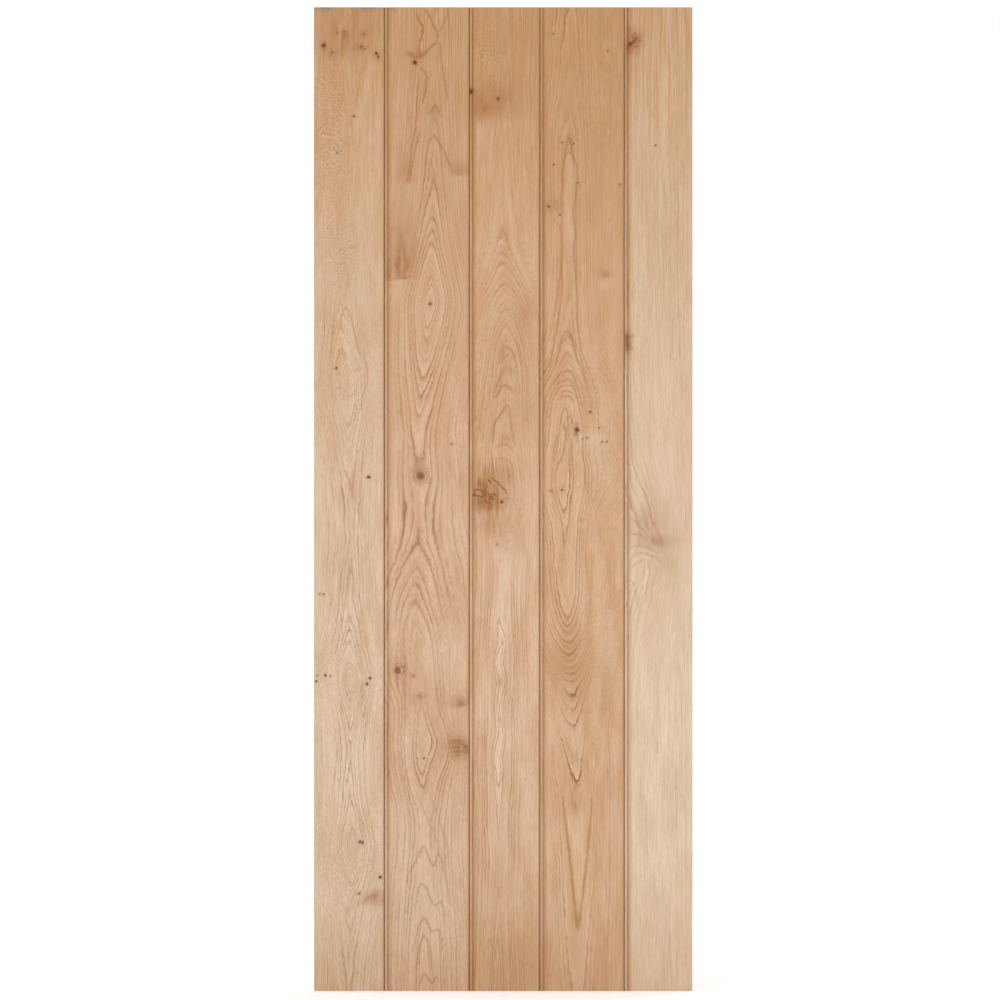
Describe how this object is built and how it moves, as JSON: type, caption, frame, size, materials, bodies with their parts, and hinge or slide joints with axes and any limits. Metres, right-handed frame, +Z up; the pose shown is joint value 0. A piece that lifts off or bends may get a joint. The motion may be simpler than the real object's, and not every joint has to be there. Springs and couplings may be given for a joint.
{
  "type": "ledged and braced door",
  "caption": "Ledged and braced door leaf: tongue-and-groove oak boards with beaded joints, held by ledges and diagonal braces on the back, with pelleted screws.",
  "frame": {"origin": "middle of the foot of the leaf, at mid thickness", "axes": "+X across the leaf to the right as seen from the beaded face, +Y from the beaded face towards the ledges, +Z up"},
  "size_m": [0.762, 0.042, 1.981],
  "materials": {
    "pale_board_oak": "sanded, unfinished",
    "warm_board_oak": "sanded, unfinished",
    "ledge_oak": "planed, unfinished",
    "pellet_oak": "planed flush, unfinished",
    "screw_zinc": "yellow zinc plated"
  },
  "bodies": {
    "root": {"left_edge_board": "pale_board_oak", "left_inner_board": "warm_board_oak", "centre_board": "warm_board_oak", "right_inner_board": "warm_board_oak", "right_edge_board": "pale_board_oak", "top_ledge": "ledge_oak", "middle_ledge": "ledge_oak", "bottom_ledge": "ledge_oak", "upper_brace": "ledge_oak", "lower_brace": "ledge_oak", "top_ledge_screws": "screw_zinc", "middle_ledge_screws": "screw_zinc", "bottom_ledge_screws": "screw_zinc", "upper_brace_screws": "screw_zinc", "lower_brace_screws": "screw_zinc", "top_ledge_pellets": "pellet_oak", "middle_ledge_pellets": "pellet_oak", "bottom_ledge_pellets": "pellet_oak", "upper_brace_pellets": "pellet_oak", "lower_brace_pellets": "pellet_oak"}
  },
  "joints": []
}
